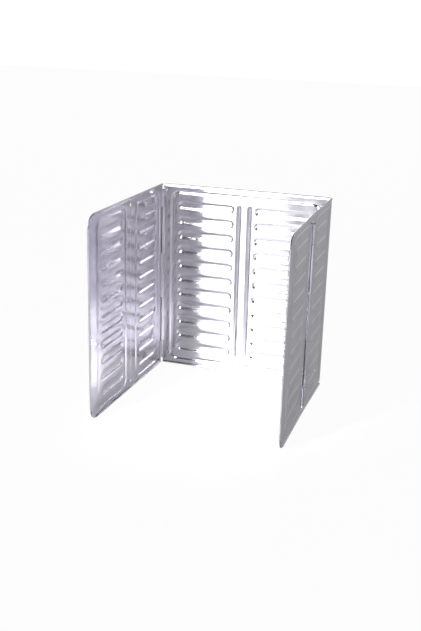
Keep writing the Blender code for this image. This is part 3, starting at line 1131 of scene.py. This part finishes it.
            # One column of ribs runs right across, so its inner end lies past the panel
            values |= {"Rib Inner End": -1.0, "Bead Relief": 0.0}
        mesh = self.shop.press.run(bpy.data.objects.new(piece, blank), values, sheet.thickness)
        mesh.transform(self.place)
        if self.place.determinant() < 0:
            mesh.flip_normals()
        adopt(piece, mesh, self.body, [self.node])


def joint_axis(name: str) -> Vector:
    """Find the foot of a hinge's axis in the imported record.

    Args:
        name: the hinge's name.

    Returns:
        The point where its axis meets the floor.
    """
    joint = next(each for each in frame["joints"] if each["name"] == name)
    x, y, _ = joint["pos_m"]
    return Vector((x, y, 0.0))


@dataclass
class HingePin:
    """A wire hinge pin with a peened head past each end of its barrel."""

    node: str
    body: str
    axis: Vector
    inset: float
    shop: Workshop
    head_radius: float = 2.1 * MM
    head_height: float = 1.2 * MM
    dome_steps: int = 6
    sides: int = 32

    def profile(self) -> list[tuple[float, float]]:
        """Draw half of the pin's section, its heads domed by the hammer.

        Returns:
            Points (radius, height) from top to bottom.
        """
        sheet = self.shop.sheet
        low = self.inset + sheet.knuckle_gap / 2 - sheet.gap
        high = sheet.height - low
        dome = []
        for i in range(self.dome_steps + 1):
            turn = math.pi / 2 * i / self.dome_steps
            dome.append((self.head_radius * math.sin(turn), self.head_height * math.cos(turn)))
        upper = [(radius, high + rise) for radius, rise in dome]
        shaft = [(sheet.pin_radius, high), (sheet.pin_radius, low)]
        lower = [(radius, low - rise) for radius, rise in reversed(dome)]
        return upper + shaft + lower

    def build(self) -> None:
        """Turn the pin on its axis."""
        bm = bmesh.new()
        ring = [bm.verts.new((radius, 0, z)) for radius, z in self.profile()]
        edges = [bm.edges.new(pair) for pair in zip(ring, ring[1:])]
        bmesh.ops.spin(
            bm, geom=ring + edges, cent=(0, 0, 0), axis=(0, 0, 1), dvec=(0, 0, 0), angle=2 * math.pi,
            steps=self.sides, use_duplicate=False,
        )
        mesh = bpy.data.meshes.new(f"{self.node}_peened")
        bm.to_mesh(mesh)
        bm.free()
        weld(mesh, outwards=True)
        mesh.transform(Matrix.Translation(self.axis))
        mesh.materials.append(self.shop.steel)
        adopt(f"{self.node}_peened", mesh, self.body, [self.node])


@dataclass
class RimWire:
    """A wire that stiffens a panel's rim, straight in one hem or bent round three."""

    node: str
    body: str
    points: list[tuple[float, float]]
    place: Matrix
    shop: Workshop
    sides: int = 14

    def build(self) -> None:
        """Draw the wire along its line in the sheet's plane."""
        curve = bpy.data.curves.new(self.node, "CURVE")
        curve.dimensions = "3D"
        spline = curve.splines.new("POLY")
        spline.points.add(len(self.points) - 1)
        for point, (u, z) in zip(spline.points, self.points):
            point.co = (u, 0, z, 1)
        shop = self.shop
        values = {"Radius": shop.sheet.wire_radius, "Sides": self.sides, "Material": shop.steel}
        mesh = shop.draw.run(bpy.data.objects.new(self.node, curve), values)
        mesh.transform(self.place)
        weld(mesh, outwards=True)
        adopt(f"{self.node}_drawn", mesh, self.body, [self.node])


def straight_wires(panel: PressedPanel, prefix: str) -> list[RimWire]:
    """Lay the top and the bottom wire of a panel with a hinge on both sides.

    Args:
        panel: the panel.
        prefix: what the wires' names begin with.

    Returns:
        The two wires.
    """
    sheet = panel.shop.sheet
    start = sheet.hem_start + sheet.wire_setback
    heights = (("top", sheet.height - sheet.hem_outer), ("bottom", sheet.hem_outer))
    wires = []
    for name, z in heights:
        points = [(start, z), (panel.width - start, z)]
        wires.append(RimWire(f"{prefix}_{name}_wire", panel.body, points, panel.place, panel.shop))
    return wires


def bent_wire(panel: PressedPanel, prefix: str) -> RimWire:
    """Bend the wire round an outer panel's three free edges.

    Args:
        panel: the outer panel.
        prefix: what the wire's name begins with.

    Returns:
        The wire.
    """
    sheet = panel.shop.sheet
    start = sheet.hem_start + sheet.wire_setback
    bend = panel.width - sheet.free_corner
    radius = sheet.wire_bend
    steps = 14
    points = [(start, sheet.hem_outer)]
    for foot, first in ((sheet.free_corner, -math.pi / 2), (sheet.height - sheet.free_corner, 0.0)):
        for i in range(steps + 1):
            turn = first + math.pi / 2 * i / steps
            points.append((bend + radius * math.cos(turn), foot + radius * math.sin(turn)))
    points.append((start, sheet.height - sheet.hem_outer))
    return RimWire(f"{prefix}_rim_wire", panel.body, points, panel.place, panel.shop)


@dataclass
class BackWall:
    """The wide back wall: one panel, two rim wires and the two corner pins that it carries."""

    shop: Workshop
    seed: float

    def build(self) -> None:
        """Build the wall's panel, then its wires and its pins."""
        shop = self.shop
        axes = {side: joint_axis(f"{side}_corner_hinge") for side in ("left", "right")}
        width = axes["right"].x - axes["left"].x
        place = Matrix.Translation((axes["left"].x, 0, 0)) @ Matrix.Diagonal((1, -1, 1, 1))
        corner = EdgeKind.CORNER_HINGE
        panel = PressedPanel(
            "back_panel", "back", width, corner, corner, near_first=0, far_first=0, place=place,
            shop=shop, seed=self.seed, centre_beads=True,
        )
        panel.build()
        for wire in straight_wires(panel, "back"):
            wire.build()
        for side, axis in axes.items():
            HingePin(f"{side}_corner_pin", "back", axis, shop.sheet.corner_inset, shop).build()


@dataclass
class SideWall:
    """A side wall: the inner panel on the corner hinge and the outer panel on the mid hinge."""

    name: str
    side: int
    corner_turn: float
    mid_turn: float
    shop: Workshop
    seed: float
    inner_width: float = 129.0 * MM
    outer_width: float = 147.0 * MM

    def place(self, axis: Vector, turn: float, plane: float) -> Matrix:
        """Place a panel of this wall on the hinge that carries it.

        Args:
            axis: the foot of the hinge's axis.
            turn: the panel's angle to the back wall's own line.
            plane: how far the sheet lies to the side of the axis.

        Returns:
            The panel's place.
        """
        sheet_plane = Matrix.Translation((0, plane, 0)) @ Matrix.Diagonal((1, self.side, 1, 1))
        return Matrix.Translation(axis) @ Matrix.Rotation(turn, 4, "Z") @ sheet_plane

    def build(self) -> None:
        """Build both panels, then their wires and the mid hinge's pin."""
        shop = self.shop
        plane = -self.side * shop.sheet.knuckle_mid
        corner = joint_axis(f"{self.name}_corner_hinge")
        mid = joint_axis(f"{self.name}_mid_hinge")
        inner_body, outer_body = f"{self.name}_inner", f"{self.name}_outer"
        inner = PressedPanel(
            f"{inner_body}_panel", inner_body, self.inner_width, EdgeKind.CORNER_HINGE, EdgeKind.MID_HINGE,
            near_first=1, far_first=0, place=self.place(corner, self.corner_turn, plane), shop=shop,
            seed=self.seed,
        )
        turn = self.corner_turn + self.mid_turn
        outer = PressedPanel(
            f"{outer_body}_panel", outer_body, self.outer_width, EdgeKind.MID_HINGE, EdgeKind.FREE,
            near_first=1, far_first=0, place=self.place(mid, turn, -plane), shop=shop, seed=self.seed + 1,
        )
        wires = (*straight_wires(inner, inner_body), bent_wire(outer, outer_body))
        pin = HingePin(f"{self.name}_mid_pin", inner_body, mid, shop.sheet.mid_inset, shop)
        for piece in (inner, outer, *wires, pin):
            piece.build()


@dataclass(frozen=True)
class Softbox:
    """A soft lamp that the camera doesn't see, with its spread in degrees."""

    name: str
    place: tuple[float, float, float]
    aim: tuple[float, float, float]
    size: tuple[float, float]
    power: float
    spread: float = 180.0

    def build(self) -> None:
        """Hang the lamp."""
        lamp = bpy.data.lights.new(self.name, "AREA")
        lamp.shape = "RECTANGLE"
        lamp.size, lamp.size_y = self.size
        lamp.energy = self.power
        lamp.spread = math.radians(self.spread)
        obj = bpy.data.objects.new(self.name, lamp)
        obj.location = self.place
        obj.rotation_euler = (Vector(self.aim) - Vector(self.place)).to_track_quat("-Z", "Y").to_euler()
        obj.visible_camera = False
        bpy.context.scene.collection.objects.link(obj)


def white_share(tree: bpy.types.NodeTree, seen: float, mirrored: float) -> bpy.types.Node:
    """Work out how much of a surface is plain white to a ray of light.

    Args:
        tree: the surface's node tree.
        seen: the share that the camera sees.
        mirrored: the share that a mirror or glass shows.

    Returns:
        The node that gives the share.
    """
    path = put(tree, "ShaderNodeLightPath").outputs
    glossy, through = path["Is Glossy Ray"], path["Is Transmission Ray"]
    direct = put(tree, MATH, (path["Is Camera Ray"], seen), operation="MULTIPLY")
    indirect = put(tree, MATH, (glossy, through), operation="MAXIMUM")
    return put(tree, MATH, (indirect, mirrored, direct), operation="MULTIPLY_ADD")


@dataclass(frozen=True)
class PhotoCamera:
    """The camera, set where the photograph was taken, as the guard's corners in it show."""

    # From the foot of the left corner hinge's axis, in heights of the guard
    stand: tuple[float, float, float] = (1.658, -4.599, 1.943)
    yaw: float = math.radians(-16.763)
    pitch: float = math.radians(18.842)
    roll: float = math.radians(1.589)
    # The focal length and the longer side of the photograph, both in its pixels
    focal_pixels: float = 943.9
    photo_pixels: float = 631.0
    # Millimetres
    sensor: float = 36.0

    def build(self, sheet: Sheet) -> None:
        """Set the camera up.

        Args:
            sheet: the sheet metal sizes, which give the guard's height.
        """
        level = math.cos(self.pitch)
        look = Vector((math.sin(self.yaw) * level, math.cos(self.yaw) * level, -math.sin(self.pitch)))
        right = look.cross(Vector((0, 0, 1))).normalized()
        up = right.cross(look)
        across = math.cos(self.roll) * right + math.sin(self.roll) * up
        rise = -math.sin(self.roll) * right + math.cos(self.roll) * up
        data = bpy.data.cameras.new("camera")
        # The sensor's width lies along the picture's longer side
        data.sensor_fit = "AUTO"
        data.sensor_width = self.sensor
        data.lens = self.focal_pixels / self.photo_pixels * data.sensor_width
        obj = bpy.data.objects.new("camera", data)
        x, y, z = (heights * sheet.height for heights in self.stand)
        turned = Matrix((across, rise, -look)).transposed().to_4x4()
        foot = joint_axis("left_corner_hinge").x
        obj.matrix_world = Matrix.Translation((foot + x, y, z)) @ turned
        bpy.context.scene.collection.objects.link(obj)
        bpy.context.scene.camera = obj


@dataclass(frozen=True)
class Studio:
    """The pale paper floor and the soft light.

    To the camera both are nearly plain white, as in the photograph, so that only the guard's soft shadow
    shows on them. In the sheet's mirror they are much darker.
    """

    floor_size: float = 12.0
    floor_colour: str = "#b9b9bb"
    floor_roughness: float = 0.12
    # Real paper's grain is finer, too fine to show
    grains_per_mm: float = 0.9
    grain_detail: float = 2.0
    grain_depth: float = 0.01 * MM
    grain_strength: float = 0.3
    # Shares of plain white in the floor and round the guard: to the camera, and in a mirror
    floor_seen: float = 0.965
    floor_mirrored: float = 0.21
    room_seen: float = 1.0
    room_mirrored: float = 0.08
    # The room's light on the cook's side and behind the guard, and between which directions it changes
    front_level: float = 0.03
    back_level: float = 0.43
    level_edges: tuple[float, float] = (-0.6, 0.7)
    lamps: tuple[Softbox, ...] = (
        Softbox("left_softbox", (-1.15, -0.35, 0.85), (0.0, -0.4, 0.0), (0.8, 0.8), 4.5),
        Softbox("front_softbox_low", (-0.70, -2.13, 0.32), (-0.2, 0.0, 0.32), (0.56, 0.34), 7.9),
        Softbox("front_softbox_high", (-0.57, -2.13, 0.78), (-0.1, 0.0, 0.3), (0.80, 0.62), 20.0),
        Softbox("window_softbox", (1.17, -1.9, 0.30), (-0.1, 0.0, 0.2), (0.22, 0.5), 2.1),
        Softbox("right_softbox", (0.95, -2.13, 0.66), (-0.1, 0.0, 0.2), (0.26, 0.34), 0.3),
        Softbox("side_softbox", (1.9, -1.2, 0.45), (0.15, -0.2, 0.2), (1.2, 0.8), 1.9),
        Softbox("floor_softbox", (0.62, -0.87, 1.4), (0.62, -0.87, 0.0), (0.2, 0.2), 1.6, 30.0),
        Softbox("well_softbox", (-0.02, -0.5, 1.35), (-0.02, -0.10, 0.0), (0.12, 0.12), 0.1, 11.0),
        Softbox("key_softbox", (-0.69, -1.53, 1.29), (0.04, -0.12, 0.0), (0.15, 0.15), 2.0, 13.0),
    )

    def floor(self) -> None:
        """Lay the floor, which keeps the guard's soft shadow."""
        mesh = bpy.data.meshes.new("floor")
        bm = bmesh.new()
        bmesh.ops.create_grid(bm, x_segments=1, y_segments=1, size=self.floor_size / 2)
        bm.to_mesh(mesh)
        bm.free()
        made = bpy.data.materials.new("pale_paper")
        tree = empty_tree(made)
        place = put(tree, "ShaderNodeTexCoord").outputs["Object"]
        pattern = {"Vector": place, "Scale": self.grains_per_mm / MM, "Detail": self.grain_detail}
        relief = {"Distance": self.grain_depth, "Strength": self.grain_strength}
        bump = put(tree, "ShaderNodeBump", {"Height": put(tree, NOISE, pattern), **relief})
        surface = {"Base Color": srgb(self.floor_colour), "Roughness": self.floor_roughness}
        paper = put(tree, "ShaderNodeBsdfPrincipled", {**surface, "Normal": bump})
        white = put(tree, "ShaderNodeEmission", {"Color": srgb("#ffffff"), "Strength": 1.0})
        share = white_share(tree, self.floor_seen, self.floor_mirrored)
        mixed = put(tree, "ShaderNodeMixShader", (share, paper, white))
        put(tree, "ShaderNodeOutputMaterial", {"Surface": mixed})
        mesh.materials.append(made)
        obj = bpy.data.objects.new("floor", mesh)
        bpy.context.scene.collection.objects.link(obj)

    def world(self) -> None:
        """Fill the room with plain light that is stronger behind the guard."""
        world = bpy.data.worlds.new("studio")
        bpy.context.scene.world = world
        tree = empty_tree(world)
        direction = put(tree, "ShaderNodeTexCoord").outputs["Generated"]
        depth = put(tree, "ShaderNodeSeparateXYZ", (direction,)).outputs["Y"]
        front, behind = self.level_edges
        limits = {1: front, 2: behind, 3: self.front_level, 4: self.back_level}
        room = put(tree, MAP_RANGE, {0: depth, **limits})
        share = white_share(tree, self.room_seen, self.room_mirrored)
        level = put(tree, MAP_RANGE, {0: share, 3: room, 4: 1.0})
        back = put(tree, "ShaderNodeBackground", {"Color": srgb("#ffffff"), "Strength": level})
        put(tree, "ShaderNodeOutputWorld", {"Surface": back})

    def build(self) -> None:
        """Build the floor, the light of the room and the lamps."""
        self.floor()
        self.world()
        for lamp in self.lamps:
            lamp.build()
        bpy.context.scene.view_settings.view_transform = "Standard"


@dataclass(frozen=True)
class RestPose:
    """The walls' angles in the photograph, in radians."""

    left_corner: float = math.radians(93.0)
    right_corner: float = math.radians(88.2)
    right_bend: float = math.radians(1.2)


def main() -> None:
    """Build the finishes and the tools, then the guard wall by wall, then the studio."""
    logging.basicConfig(level=logging.INFO, format="%(name)s: %(message)s")
    low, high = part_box("back_panel")
    sheet = Sheet(height=high.z - low.z)
    shop = Workshop(
        sheet=sheet, pressing=Pressing(), press=press_tool(), draw=sweep_tool(),
        aluminium=RolledAluminium().material(), steel=DrawnSteel().material(),
    )
    pose = RestPose()
    BackWall(shop, seed=3.7).build()
    SideWall("left", 1, -pose.left_corner, 0.0, shop, seed=11.3).build()
    SideWall("right", -1, pose.right_corner - math.pi, pose.right_bend, shop, seed=23.9).build()
    Studio().build()
    PhotoCamera().build(sheet)


if __name__ == "__main__":
    main()
